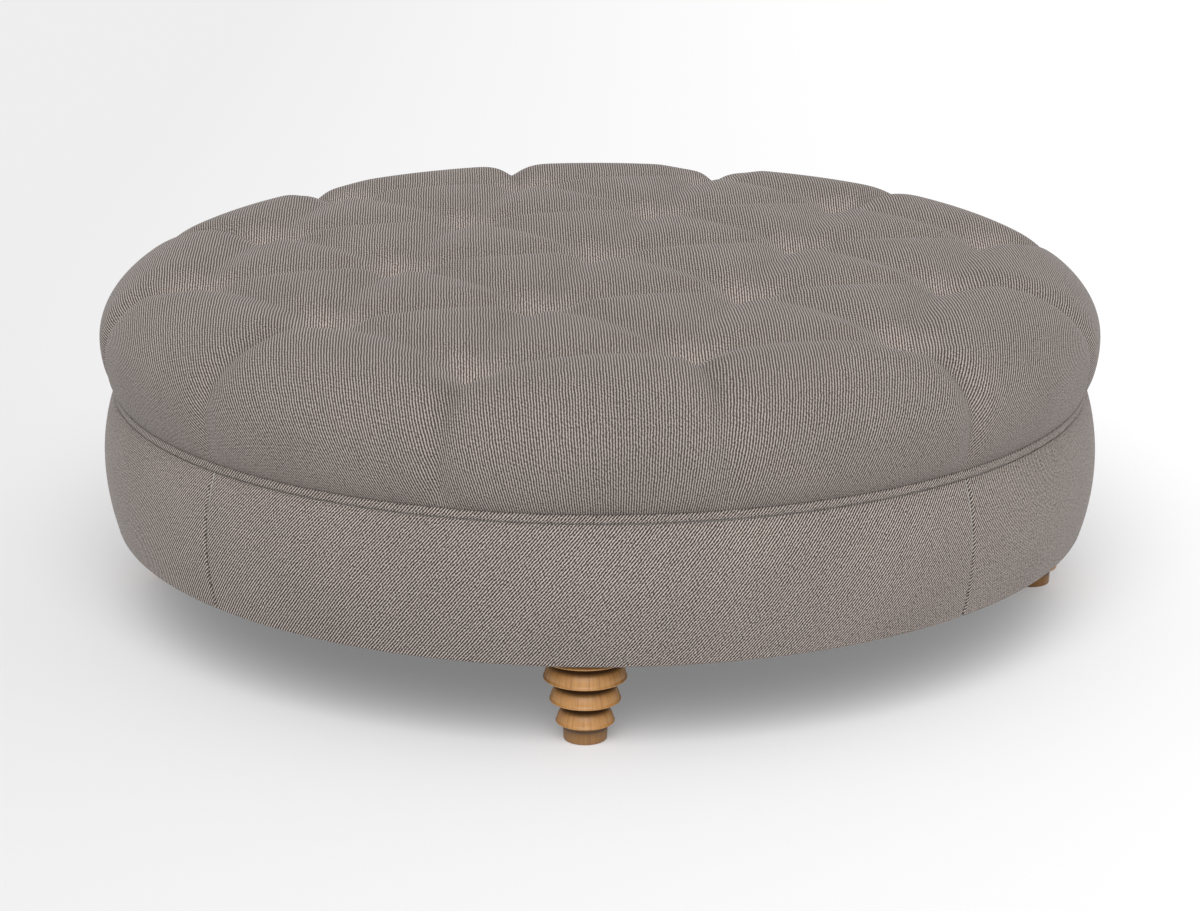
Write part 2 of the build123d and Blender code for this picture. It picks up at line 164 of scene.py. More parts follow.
# Fabric: distances between the twill's ribs, and the turn of the direction across them
seat_rib_spacing = 0.00293
seat_rib_turn = 4.0
drum_rib_spacing = 0.00267
drum_rib_turn = -40.4
seat_light = (172, 162, 156)
seat_dark = (72, 64, 60)
drum_light = (188, 177, 170)
drum_dark = (56, 48, 44)

# What ribs, beads and yarn noise each add to a thread's lightness, and the range that shows it
rib_wander = 0.7
bead_per_rib = 0.62
bead_shift = 0.37
rib_share = 0.80
bead_share = 0.18
yarn_share = 1.9
thread_range = (0.34, 0.86)
cloth_shade = 0.88
cloud_share = 0.24
painted_shading_share = 0.38


# Mesh helpers

def make_piece(name, points, faces, coordinates=None, attributes=None):
    """Mesh object from points and faces, with cloth coordinates in metres for each face corner."""
    mesh = bpy.data.meshes.new(name)
    mesh.from_pydata([tuple(p) for p in points], [], faces)
    if coordinates is not None:
        layer = mesh.uv_layers.new(name="cloth")
        layer.data.foreach_set("uv", np.asarray(coordinates, np.float32).ravel())
    for key, values in (attributes or {}).items():
        layer = mesh.attributes.new(key, "FLOAT", "POINT")
        layer.data.foreach_set("value", np.asarray(values, np.float32))
    mesh.polygons.foreach_set("use_smooth", [True] * len(mesh.polygons))
    mesh.update()
    piece = bpy.data.objects.new(name, mesh)
    bpy.context.scene.collection.objects.link(piece)
    return piece


def corner_values(faces, values):
    """One value for each face corner, from values for the points."""
    return np.asarray(values)[np.concatenate([np.asarray(f) for f in faces])]


def grid_faces(rows, columns, closed=False):
    """Quads of a grid of points stored row by row, and the grid place of each face corner."""
    faces = []
    places = []
    for i in range(rows - 1):
        for j in range(columns - (0 if closed else 1)):
            k = (j + 1) % columns
            faces.append((i * columns + j, i * columns + k, (i + 1) * columns + k, (i + 1) * columns + j))
            places += [(i, j), (i, j + 1), (i + 1, j + 1), (i + 1, j)]
    return faces, np.array(places)


def turned(radius, level, angles, centre=(0.0, 0.0)):
    """Points of an outline at each angle about an upright axis."""
    x = centre[0] + radius * np.cos(angles)
    y = centre[1] + radius * np.sin(angles)
    return np.stack(np.broadcast_arrays(x, y, level), axis=-1).reshape(-1, 3)


def way_along(points):
    """Distance of each point from the first, along the line through them."""
    return np.concatenate([[0], np.cumsum(np.linalg.norm(np.diff(points, axis=0), axis=1))])


def points_of(piece):
    """The mesh's points as an array."""
    points = np.empty(len(piece.data.vertices) * 3, np.float64)
    piece.data.vertices.foreach_get("co", points)
    return points.reshape(-1, 3)


def subdivide(piece):
    """One level of smooth subdivision."""
    modifier = piece.modifiers.new("subdivision", "SUBSURF")
    modifier.levels = 1
    modifier.render_levels = 1
    modifier.boundary_smooth = "PRESERVE_CORNERS"


def thicken(piece, thickness, offset):
    """Thickness for a thin sheet, inward or outward."""
    modifier = piece.modifiers.new("thickness", "SOLIDIFY")
    modifier.thickness = thickness
    modifier.offset = offset


def smooth_noise(points, size, seed):
    """Slow, repeatable waves through space, about -1 to 1."""
    rng = np.random.default_rng(seed)
    total = np.zeros(len(points))
    waves = 7
    shortest, longest = 0.7, 1.5
    for k in range(waves):
        heading = rng.normal(size=3)
        heading /= np.linalg.norm(heading)
        phase = rng.uniform(0, 2 * math.pi)
        length = size * rng.uniform(shortest, longest)
        total += np.sin(points @ heading * 2 * math.pi / length + phase)
    return total / math.sqrt(waves)


def swell(piece, held):
    """Blows the cloth up against its held points, and lets no point go further than cloth_most."""
    start = points_of(piece)
    group = piece.vertex_groups.new(name="held")
    levels = np.round(np.clip(held, 0, 1) * held_levels).astype(int)
    for level in range(1, held_levels + 1):
        members = np.nonzero(levels == level)[0]
        if len(members):
            group.add(members.tolist(), level / held_levels, "REPLACE")
    modifier = piece.modifiers.new("cloth", "CLOTH")
    cloth = modifier.settings
    cloth.quality = 4
    cloth.mass = 0.4
    cloth.tension_stiffness = 12
    cloth.compression_stiffness = 12
    cloth.shear_stiffness = 6
    cloth.bending_stiffness = 1.5
    cloth.air_damping = 3
    cloth.use_pressure = True
    cloth.uniform_pressure_force = cloth_pressure
    cloth.effector_weights.gravity = 0
    cloth.vertex_group_mass = group.name
    cloth.pin_stiffness = 0.8
    modifier.collision_settings.use_collision = False
    modifier.collision_settings.use_self_collision = False
    modifier.point_cache.frame_start = 1
    modifier.point_cache.frame_end = cloth_frames
    scene = bpy.context.scene
    for number in range(1, cloth_frames + 1):
        scene.frame_set(number)
    shown = piece.evaluated_get(bpy.context.evaluated_depsgraph_get())
    way = points_of(shown) - start
    length = np.linalg.norm(way, axis=1)
    way *= (cloth_most * np.tanh(length / cloth_most) / np.maximum(length, tiny))[:, None]
    piece.modifiers.remove(modifier)
    piece.vertex_groups.remove(group)
    scene.frame_set(1)
    piece.data.vertices.foreach_set("co", np.asarray(start + way, np.float32).ravel())
    piece.data.update()


# Cushion

def cushion_meridian():
    """Radius and level of the untufted cushion at a distance along its surface from the middle."""
    crown = np.linspace(0, crown_radius, crown_points)
    crown_levels = crown_top - crown_rise * (crown / crown_radius) ** 2
    lean = np.radians(np.linspace(90, 0, shoulder_points))[1:]
    shoulder = crown_radius + shoulder_width * np.cos(lean)
    shoulder_levels = seat_swell + shoulder_height * np.sin(lean)
    flank_radius = (seat_swell_height**2 + seat_foot_draw**2) / (2 * seat_foot_draw)
    drop = np.linspace(0, seat_swell_height, flank_points)[1:]
    flank = seat_radius - flank_radius + np.sqrt(flank_radius**2 - drop**2)
    radii = np.concatenate([crown, shoulder, flank])
    levels = np.concatenate([crown_levels, shoulder_levels, seat_swell - drop])
    reach = np.concatenate([[0], np.cumsum(np.hypot(np.diff(radii), np.diff(levels)))])
    return reach, radii, levels


def lattice_direction(turn):
    """Direction from a tuft to a neighbour, in sixths of a turn."""
    angle = math.radians(tuft_lattice_turn + 60 * turn)
    return np.array([math.cos(angle), math.sin(angle)])


def tuft_centres():
    """Plan positions of all tufts."""
    centres = []
    for i in range(-tuft_rings, tuft_rings + 1):
        for j in range(-tuft_rings, tuft_rings + 1):
            if abs(i + j) <= tuft_rings:
                centres.append(tuft_pitch * (i * lattice_direction(0) + j * lattice_direction(1)))
    return np.array(centres)


def cushion_lattice(steps, skirt_rings, length):
    """Flat layout of the cushion's points: a triangular lattice out to the outer tufts, then rings."""
    rings = tuft_rings * steps
    step = tuft_pitch / steps
    flat = [np.zeros(2)]
    first = [0]
    for ring in range(1, rings + 1):
        first.append(len(flat))
        for side in range(6):
            corner = lattice_direction(side) * ring * step
            along = lattice_direction(side + 2) * step
            flat += [corner + along * k for k in range(ring)]
    faces = []
    for ring in range(1, rings + 1):
        inner_count = max(6 * (ring - 1), 1)
        for side in range(6):
            for k in range(ring):
                inner = first[ring - 1] + (side * (ring - 1) + k) % inner_count
                outer = first[ring] + side * ring + k
                after = first[ring] + (side * ring + k + 1) % (6 * ring)
                faces.append((inner, outer, after))
                if k < ring - 1:
                    beside = first[ring - 1] + (side * (ring - 1) + k + 1) % inner_count
                    faces.append((inner, after, beside))
    count = 6 * rings
    edge = np.array(flat[first[rings]:])
    radii = np.hypot(edge[:, 0], edge[:, 1])
    headings = edge / radii[:, None]
    start = first[rings]
    for ring in range(1, skirt_rings + 1):
        reach = radii + (length - radii) * ring / skirt_rings
        below = len(flat)
        flat += list(headings * reach[:, None])
        for k in range(count):
            after = (k + 1) % count
            faces.append((start + k, below + k, below + after, start + after))
        start = below
    return np.array(flat), faces, start, count


def rounded_valley(away, crease, half_width, power):
    """Share of a fold's depth at a distance from its line: steep sides and a rounded bottom."""
    softened = (np.sqrt(away**2 + crease**2) - crease) / half_width
    return np.clip(1 - softened, 0, 1) ** power


def segment_fold(flat, start, end):
    """Depth of the fold between two neighbouring tufts at each point."""
    along = end - start
    length = np.linalg.norm(along)
    along = along / length
    share = np.clip((flat - start) @ along / length, 0, 1)
    nearest = start + share[:, None] * along * length
    away = np.linalg.norm(flat - nearest, axis=1)
    near_tuft = np.abs(2 * share - 1) ** fold_end_power
    half_width = fold_middle_half_width + (fold_half_width - fold_middle_half_width) * near_tuft
    crease = crease_middle_radius + (crease_radius - crease_middle_radius) * near_tuft
    depth = fold_middle_depth + (fold_tuft_depth - fold_middle_depth) * near_tuft
    return depth * rounded_valley(away, crease, half_width, fold_power)


def side_fold(flat, centre):
    """Depth of the fold from an outer tuft over the shoulder and down to the welt, and the painted shade
    along its crease.
    """
    along = centre / np.linalg.norm(centre)
    offset = flat - centre
    run = offset @ along
    away = np.abs(offset @ np.array([-along[1], along[0]]))
    share = np.clip(run / side_fold_reach, 0, 1)
    fall = share**side_fold_fall_power
    depth = side_fold_tuft_depth + (side_fold_foot_depth - side_fold_tuft_depth) * fall
    growth = np.clip(side_crease_growth * share, 0, 1)
    crease = crease_radius + (side_crease_radius - crease_radius) * growth
    fade = np.clip(1 + run / side_fold_inner, 0, 1)
    dark = np.exp(-((away / crease_shade_width) ** 2)) * fade
    dark *= np.clip(crease_shade_fall * (1 - share), 0, 1)
    return depth * rounded_valley(away, crease, side_fold_half_width, side_fold_power) * fade, dark


def tuft_pit(away):
    """Depth of a tuft's cone at a distance from its axis: a broad mouth down to a narrow floor."""
    across = np.clip((tuft_mouth_radius - away) / (tuft_mouth_radius - tuft_base_radius), 0, 1)
    return tuft_depth * across**tuft_mouth_power


def cushion_depths(flat):
    """How far folds and tufts pull each point in, its distance from a tuft, and the painted shade in its
    crease.
    """
    centres = tuft_centres()
    neighbour_reach = 1.1 * tuft_pitch
    outer_reach = (tuft_rings - 0.4) * tuft_pitch
    folds = np.zeros(len(flat))
    for a in range(len(centres)):
        for b in range(a + 1, len(centres)):
            if np.linalg.norm(centres[a] - centres[b]) < neighbour_reach:
                folds += segment_fold(flat, centres[a], centres[b]) ** fold_join_power
    dark = np.zeros(len(flat))
    pits = np.zeros(len(flat))
    nearest = np.full(len(flat), 1.0)
    for centre in centres:
        if np.linalg.norm(centre) > outer_reach:
            fold, crease = side_fold(flat, centre)
            folds += fold**fold_join_power
            dark = np.maximum(dark, crease)
        away = np.linalg.norm(flat - centre, axis=1)
        pits = np.maximum(pits, tuft_pit(away))
        nearest = np.minimum(nearest, away)
    return folds ** (1 / fold_join_power), pits, nearest, dark


def joined(pits, folds):
    """Depth of pits and folds together, rounded where they meet."""
    return (pits**pit_join_power + folds**pit_join_power) ** (1 / pit_join_power)


def on_cushion(flat, depth, down):
    """Points at a depth under the untufted cushion, square to it or, by a share, straight down."""
    reach, radii, levels = cushion_meridian()
    distance = np.hypot(flat[:, 0], flat[:, 1])
    heading = flat / np.maximum(distance, tiny)[:, None]
    out_r = -np.interp(distance, reach, np.gradient(levels, reach))
    out_z = np.interp(distance, reach, np.gradient(radii, reach))
    radius = np.interp(distance, reach, radii) - out_r * (1 - down) * depth
    level = np.interp(distance, reach, levels) - (out_z + (1 - out_z) * down) * depth
    return np.column_stack([heading * radius[:, None], level])


def tufted_cushion():
    """Tufted seat cover, swollen by a cloth simulation between its tufts and folds."""
    length = cushion_meridian()[0][-1]
    steps, skirt = cushion_mesh
    flat, faces, rim, count = cushion_lattice(steps, skirt, length)
    distance = np.hypot(flat[:, 0], flat[:, 1])
    folds, pits, nearest, dark = cushion_depths(flat)
    above_welt = np.clip((length - distance) / foot_fade, 0, 1)
    folds *= above_welt * (2 - above_welt)
    depth = joined(pits, folds)
    limit = foam_depth - foam_clearance + foam_hole_slope * np.clip(foam_hole_radius - nearest, 0, 1)
    depth = np.maximum(depth, 1e-6) ** -foam_limit_power + limit**-foam_limit_power
    depth = depth ** (-1 / foam_limit_power)
    depth -= cloth_start_proud * above_welt * np.clip(1 - depth / cloth_proud_depth, 0, 1)
    points = on_cushion(flat, depth, np.clip(pits / tuft_depth, 0, 1))
    # Painted light round each tuft, painted shade at the cushion's foot and along the side-fold creases
    painted_shading = tuft_painted_light * np.clip(1 - nearest / tuft_painted_light_reach, 0, 1)
    painted_shading -= foot_shade * (1 - above_welt) ** foot_shade_power
    painted_shading -= crease_shade * dark * np.clip(nearest / crease_shade_run - crease_shade_start, 0, 1)
    piece = make_piece("tufted_cushion", points, faces, corner_values(faces, flat), {"painted_shading": painted_shading})
    on_side = np.clip((distance - tuft_rings * tuft_pitch) / held_side_run, 0, 1)
    held = np.clip(folds / fold_tuft_depth, 0, 1) * (held_fold + held_side_fold * on_side)
    held[(nearest < held_tuft_radius) | (distance > length - held_edge_width)] = 1
    swell(piece, held)
    close_cushion(piece, rim, count)
    subdivide(piece)
    piece.data.materials.append(twill("seat_twill", seat_rib_spacing, seat_rib_turn, seat_light, seat_dark))
    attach(piece, "root")
    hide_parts("seat_cover")


def wadding_layer(material):
    """Wadding over the foam, pressed thin round each tuft and open at its middle."""
    length = cushion_meridian()[0][-1]
    steps, skirt = wadding_mesh
    flat, faces, _, _ = cushion_lattice(steps, skirt, length - wadding_edge_margin)
    folds, pits, nearest, _ = cushion_depths(flat)
    upper = np.maximum(wadding_depth, joined(pits, folds) + wadding_clearance)
    lower = foam_depth - wadding_foam_gap
    kept = (nearest > foam_hole_radius + wadding_hole_margin) & (upper < lower - wadding_least)
    faces = [face for face in faces if all(kept[k] for k in face)]
    total = len(flat)
    edges = {}
    for face in faces:
        for a, b in zip(face, face[1:] + face[:1]):
            edges[(a, b)] = (b, a) not in edges
            if (b, a) in edges:
                edges[(b, a)] = False
    closed = list(faces) + [tuple(k + total for k in reversed(face)) for face in faces]
    closed += [(b, a, a + total, b + total) for (a, b), alone in edges.items() if alone]
    straight = np.zeros(total)
    points = np.vstack([on_cushion(flat, depth, straight) for depth in (upper, np.full(total, lower))])
    used = sorted({k for face in closed for k in face})
    place = {k: n for n, k in enumerate(used)}
    closed = [tuple(place[k] for k in face) for face in closed]
    piece = make_piece("wadding_layer", points[used], closed)
    piece.data.materials.append(material)
    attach(piece, "root")
    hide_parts("seat_wadding")


def close_cushion(piece, rim, count):
    """Turns the cushion's lower edge under and closes it over the deck, with fewer points ring by ring."""
    work = bmesh.new()
    work.from_mesh(piece.data)
    work.verts.ensure_lookup_table()
    layer = work.loops.layers.uv["cloth"]

    def ring_inside(ring, inward, every):
        after = []
        for v in ring[::every]:
            out = Vector((v.co.x, v.co.y, 0)).normalized()
            after.append(work.verts.new(v.co - out * inward))
        return after

    def add_face(corners):
        face = work.faces.new(corners)
        face.smooth = True
        for loop in face.loops:
            loop[layer].uv = loop.vert.co.xy

    ring = [work.verts[rim + k] for k in range(count)]
    for inward in edge_tucks:
        after = ring_inside(ring, inward, 1)
        for k in range(count):
            n = (k + 1) % count
            add_face((ring[k], after[k], after[n], ring[n]))
        ring = after
    while len(ring) % 2 == 0 and len(ring) > closing_points:
        after = ring_inside(ring, seat_foot_radius / closing_rings, 2)
        for k in range(len(after)):
            n = (k + 1) % len(after)
            add_face((ring[2 * k], after[k], after[n], ring[(2 * k + 2) % len(ring)], ring[2 * k + 1]))
        ring = after
    add_face(list(reversed(ring)))
    bmesh.ops.recalc_face_normals(work, faces=work.faces)
    work.to_mesh(piece.data)
    work.free()


# Drum

drum_swell_height = 0.077
drum_foot_draw = 0.011
drum_top_draw = 0.013
drum_edge_rounding = 0.0042
flange_width = 0.043
cloth_thickness = 0.0018

# The panels' top edge: its drop below the welt, and how far in and below the welt it tucks
panel_top_drop = 0.0016
panel_tucks = ((0.0022, 0.0001), (0.0006, 0.0006))
panel_top_shade = 0.9
panel_top_shade_width = 0.0020

# Points up, down and round the foot of a panel, and across it from seam to seam
panel_up_points = 16
panel_down_points = 14
panel_turn_points = 7
panel_flange_points = 7
panel_columns = 90
panel_column_gap = 1.6
ripple_height = 0.0004
ripple_length = 0.16
ripple_seed = 11

# Seams midway between the legs
seam_depth = 0.0016
seam_half_width = 0.0018
seam_gap = 0.0003
seam_steps = (0, 0.0006, 0.0012, 0.0019, 0.0028, 0.004, 0.006, 0.009)
seam_shade = 0.35
seam_shade_width = 0.0012

# Welt
welt_depth = 0.004
welt_squareness = 3.2
welt_gap = 0.0001
welt_section_points = 20
welt_columns = 540
welt_shade_width = 0.0022


def arc_between(start, end, count):
    """Points of the arc that leaves the start upright and ends at the end, in radius and level."""
    dr = end[0] - start[0]
    dz = end[1] - start[1]
    bend = (dr**2 + dz**2) / (2 * dr)
    turn = 2 * math.atan2(abs(dr), abs(dz))
    steps = np.linspace(0, turn, count)
    return np.column_stack([
        start[0] + bend * (1 - np.cos(steps)),
        start[1] + math.copysign(1, dz) * abs(bend) * np.sin(steps),
    ])


def drum_profile():
    """Outline of the side cover from under the welt, down the side and under the bottom ring."""
    foot_radius = drum_radius - drum_foot_draw
    top_radius = drum_radius - drum_top_draw
    widest = (drum_radius, drum_bottom + drum_swell_height)
    tucked = np.array([(top_radius - inward, welt_bottom - below) for inward, below in panel_tucks])
    up = arc_between(widest, (top_radius, welt_bottom - panel_top_drop), panel_up_points)[::-1]
    turn_level = drum_bottom + drum_edge_rounding
    down = arc_between(widest, (foot_radius, turn_level), panel_down_points)[1:]
    turn = np.radians(np.linspace(0, -90, panel_turn_points))[1:]
    under_radius = foot_radius - drum_edge_rounding
    under = np.column_stack([
        under_radius + drum_edge_rounding * np.cos(turn),
        turn_level + drum_edge_rounding * np.sin(turn),
    ])
    inward = np.linspace(under_radius, foot_radius - flange_width, panel_flange_points)[1:]
    flange = np.column_stack([inward, np.full(len(inward), drum_bottom)])
    return np.concatenate([tucked, up, down, under, flange])


def side_panels():
    """Four panels of the side cover, whose edges turn into seams midway between the legs."""
    profile = drum_profile()
    length = way_along(profile)
    half = math.pi / 4 - seam_gap / 2 / drum_radius
    near = np.array(seam_steps) / drum_radius
    middle = half - near[-1] * panel_column_gap
    angles = np.concatenate([-half + near, np.linspace(-middle, middle, panel_columns), half - near[::-1]])
    normal = np.gradient(profile, axis=0)
    normal = np.column_stack([-normal[:, 1], normal[:, 0]])
    normal /= np.linalg.norm(normal, axis=1)[:, None]
    if normal[0, 0] < 0:
        normal = -normal
    edge = (half - np.abs(angles)) * drum_radius
    groove = seam_depth * np.exp(-((edge / seam_half_width) ** 2))
    radius = profile[:, 0][:, None] - groove[None, :] * np.abs(normal[:, 0])[:, None]
    level = profile[:, 1][:, None] + groove[None, :] * np.abs(np.minimum(normal[:, 1], 0))[:, None]
    dark = np.maximum(
        seam_shade * np.exp(-((edge / seam_shade_width) ** 2))[None, :],
        panel_top_shade * np.exp(-((length / panel_top_shade_width) ** 2))[:, None],
    )
    faces, places = grid_faces(len(profile), len(angles))
    faces = [tuple(reversed(f)) for f in faces]
    places = places.reshape(-1, 4, 2)[:, ::-1].reshape(-1, 2)
    material = twill("drum_twill", drum_rib_spacing, drum_rib_turn, drum_light, drum_dark)
    for number, (side, heading) in enumerate(sides.items()):
        points = turned(radius, level, angles[None, :] + math.radians(heading))
        flat_side = points[:, 2] > drum_bottom + drum_edge_rounding
        ripple = ripple_height * smooth_noise(points, ripple_length, ripple_seed + number) * flat_side
        points[:, :2] *= (1 + ripple / drum_radius)[:, None]
        across = angles * drum_radius + number
        coordinates = np.column_stack([across[places[:, 1]], -length[places[:, 0]]])
        # Painted shade along the seams and at the top edge under the welt
        piece = make_piece(f"side_panel_{side}", points, faces, coordinates, {"painted_shading": -dark.ravel()})
        thicken(piece, cloth_thickness, -1)
        subdivide(piece)
        piece.data.materials.append(material)
        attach(piece, "root")
        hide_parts(f"side_cover_{side}")


def welt():
    """Flat welt sewn between cushion and drum: a narrow strip with rounded edges."""
    height = deck_top - welt_bottom
    middle = welt_bottom + height / 2
    turn = np.linspace(0, 2 * math.pi, welt_section_points, endpoint=False)
    across = np.sign(np.cos(turn)) * np.abs(np.cos(turn)) ** (2 / welt_squareness)
    up = np.sign(np.sin(turn)) * np.abs(np.sin(turn)) ** (2 / welt_squareness)
    section = np.column_stack([
        welt_radius - welt_depth / 2 + across * welt_depth / 2, middle + up * (height / 2 - welt_gap),
    ])[::-1]
    length = way_along(np.vstack([section, section[:1]]))
    angles = np.linspace(0, 2 * math.pi, welt_columns, endpoint=False)
    points = turned(section[None, :, 0], section[None, :, 1], angles[:, None])
    faces = []
    coordinates = []
    rows = len(section)
    for j in range(welt_columns):
        k = (j + 1) % welt_columns
        for i in range(rows):
            n = (i + 1) % rows
            faces.append((j * rows + i, j * rows + n, k * rows + n, k * rows + i))
            for column, row in ((j, i), (j, i + 1), (j + 1, i + 1), (j + 1, i)):
                coordinates.append((2 * math.pi * column / welt_columns * welt_radius, -length[row]))
    low_edge = np.clip((welt_bottom + welt_shade_width - points[:, 2]) / welt_shade_width, 0, 1)
    high_edge = np.clip((points[:, 2] - deck_top + welt_shade_width) / welt_shade_width, 0, 1)
    # Painted shade along the welt's upper and lower edges
    piece = make_piece("welt", points, faces, coordinates, {"painted_shading": -np.maximum(low_edge, high_edge)})
    piece.data.materials.append(twill("welt_twill", drum_rib_spacing, drum_rib_turn, drum_light, drum_dark))
    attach(piece, "root")
    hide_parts("welt_band")


# Materials

def node_adder(tree):
    """A short way to add a node, with its inputs set or linked."""
    def add(kind, inputs=(), **settings):
        made = tree.nodes.new(kind)
        for key, value in settings.items():
            setattr(made, key, value)
        for socket, value in dict(inputs).items():
            if isinstance(value, bpy.types.NodeSocket):
                tree.links.new(value, made.inputs[socket])
            else:
                made.inputs[socket].default_value = value
        return made
    return add


def node_set(material_name):
    """New material with a shader, and short ways to add, reckon and mix."""
    material = bpy.data.materials.new(material_name)
    material.use_nodes = True
    tree = material.node_tree
    add = node_adder(tree)

    def sums(operation, *values):
        return add("ShaderNodeMath", dict(enumerate(values)), operation=operation).outputs[0]

    def mix(factor, a, b):
        return add("ShaderNodeMix", {0: factor, 6: a, 7: b}, data_type="RGBA").outputs[2]

    return material, tree, tree.nodes["Principled BSDF"], add, sums, mix


def linear(red, green, blue):
    """Colour as the shader takes it, from values as a picture shows them, 0 to 255."""
    def convert(value):
        share = value / 255
        return share / 12.92 if share <= 0.04045 else ((share + 0.055) / 1.055) ** 2.4
    return (convert(red), convert(green), convert(blue), 1.0)


def twill(name, spacing, turn, light, dark):
    """Two-tone twill: light ribs on a dark ground, yarn by yarn, with a slight sheen."""
    material, tree, shader, add, sums, mix = node_set(name)
    cloth = add("ShaderNodeUVMap", uv_map="cloth").outputs[0]
    u, v = add("ShaderNodeSeparateXYZ", {0: cloth}).outputs[:2]
    c, s = math.cos(math.radians(turn)), math.sin(math.radians(turn))

    def weighed(a, share_a, b, share_b):
        return sums("ADD", sums("MULTIPLY", a, share_a), sums("MULTIPLY", b, share_b))

    def wave(phase):
        return sums("ADD", sums("MULTIPLY", sums("COSINE", sums("MULTIPLY", phase, 2 * math.pi)), 0.5), 0.5)

    def noise(scale, detail, roughness=0.5):
        inputs = {"Vector": cloth, "Scale": scale, "Detail": detail, "Roughness": roughness}
        return add("ShaderNodeTexNoise", inputs).outputs[0]

    across = weighed(u, c / spacing, v, s / spacing)
    length = weighed(u, -s / spacing, v, c / spacing)
    wander = sums("SUBTRACT", noise(55.0, 2.0), 0.5)
    across = sums("ADD", across, sums("MULTIPLY", wander, rib_wander))
    rib = wave(across)
    bead = wave(weighed(length, bead_per_rib, sums("FLOOR", across), bead_shift))
    yarn = noise(480.0, 3.0, 0.7)
    cloud = noise(9.0, 3.0)
    lit = weighed(rib, rib_share, bead, bead_share)
    lit = sums("ADD", lit, sums("MULTIPLY", sums("SUBTRACT", yarn, 0.5), yarn_share))
    low, high = thread_range
    mask = add("ShaderNodeMapRange", {0: lit, 1: low, 2: high}, interpolation_type="SMOOTHSTEP").outputs[0]
    colour = mix(mask, linear(*dark), linear(*light))
    # Painted light and shade from the mesh lighten or darken the cloth's colour
    painted_shading = add("ShaderNodeAttribute", attribute_name="painted_shading").outputs["Fac"]
    shade = sums("ADD", sums("ADD", cloth_shade, sums("MULTIPLY", cloud, cloud_share)),
                 sums("MULTIPLY", painted_shading, painted_shading_share))
    grey = add("ShaderNodeCombineColor", {0: shade, 1: shade, 2: shade}).outputs[0]
    tint = add("ShaderNodeMix", {0: 1.0, 6: colour, 7: grey}, data_type="RGBA", blend_type="MULTIPLY")
    tree.links.new(tint.outputs[2], shader.inputs["Base Color"])
    height = sums("ADD", weighed(rib, 0.7, bead, 0.2), sums("MULTIPLY", yarn, 0.25))
    bump = add("ShaderNodeBump", {"Strength": 0.5, "Distance": 0.0003, "Height": height})
    tree.links.new(bump.outputs[0], shader.inputs["Normal"])
    shader.inputs["Roughness"].default_value = 0.92
    shader.inputs["Sheen Weight"].default_value = 0.1
    shader.inputs["Sheen Roughness"].default_value = 0.45
    shader.inputs["Specular IOR Level"].default_value = 0.25
    return material


def oak(name):
    """Clear-finished oak turned across its grain: fine streaks that run down the bells."""
    material, tree, shader, add, sums, mix = node_set(name)
    place = add("ShaderNodeUVMap", uv_map="cloth").outputs[0]

    def grain(around, down, detail, roughness=0.5):
        stretched = add("ShaderNodeMapping", {"Vector": place, "Scale": (around, down, 1.0)}).outputs[0]
        inputs = {"Vector": stretched, "Scale": 1.0, "Detail": detail, "Roughness": roughness}
        return add("ShaderNodeTexNoise", inputs).outputs[0]

    def spots(noise, low, high):
        return add("ShaderNodeMapRange", {0: noise, 1: low, 2: high}).outputs[0]

    streaks = grain(620.0, 12.0, 4.0, 0.6)
    bands = grain(170.0, 7.0, 3.0)
    pores = grain(1500.0, 60.0, 2.0)
    # Painted shade from the mesh: dark brown in the necks, under the rims, on the foot and at the top
    groove = add("ShaderNodeAttribute", attribute_name="groove").outputs["Fac"]
    colour = mix(bands, linear(193, 145, 86), linear(169, 120, 66))
    colour = mix(sums("MULTIPLY", spots(streaks, 0.48, 0.70), 0.7), colour, linear(138, 92, 50))
    colour = mix(sums("MULTIPLY", spots(pores, 0.62, 0.72), 0.45), colour, linear(100, 64, 34))
    colour = mix(sums("MULTIPLY", groove, 0.9), colour, linear(54, 34, 18))
    tree.links.new(colour, shader.inputs["Base Color"])
    bump = add("ShaderNodeBump", {"Strength": 0.25, "Distance": 0.0002, "Height": streaks})
    tree.links.new(bump.outputs[0], shader.inputs["Normal"])
    shader.inputs["Roughness"].default_value = 0.42
    shader.inputs["Coat Weight"].default_value = 0.05
    shader.inputs["Coat Roughness"].default_value = 0.3
    return material


def sawn_wood(name, light, dark, scale):
    """Plain sawn or sanded wood inside the frame."""
    material, tree, shader, add, sums, mix = node_set(name)
    place = add("ShaderNodeTexCoord").outputs["Object"]
    grain = add("ShaderNodeMapping", {"Vector": place, "Scale": scale}).outputs[0]
    inputs = {"Vector": grain, "Scale": 1.0, "Detail": 5.0, "Distortion": 0.6}
    noise = add("ShaderNodeTexNoise", inputs).outputs[0]
    tree.links.new(mix(noise, linear(*light), linear(*dark)), shader.inputs["Base Color"])
    bump = add("ShaderNodeBump", {"Strength": 0.3, "Distance": 0.0003, "Height": noise})
    tree.links.new(bump.outputs[0], shader.inputs["Normal"])
    shader.inputs["Roughness"].default_value = 0.75
    return material


def speckled(name, light, dark, size, roughness, metallic=0.0):
    """Foam, wadding, fibre, twine and plated steel: a fine mottle with a little relief."""
    material, tree, shader, add, sums, mix = node_set(name)
    place = add("ShaderNodeTexCoord").outputs["Object"]
    noise = add("ShaderNodeTexNoise", {"Vector": place, "Scale": 1 / size, "Detail": 4.0}).outputs[0]
    tree.links.new(mix(noise, linear(*light), linear(*dark)), shader.inputs["Base Color"])
    bump = add("ShaderNodeBump", {"Strength": 0.4, "Distance": size / 4, "Height": noise})
    tree.links.new(bump.outputs[0], shader.inputs["Normal"])
    shader.inputs["Roughness"].default_value = roughness
    shader.inputs["Metallic"].default_value = metallic
    return material


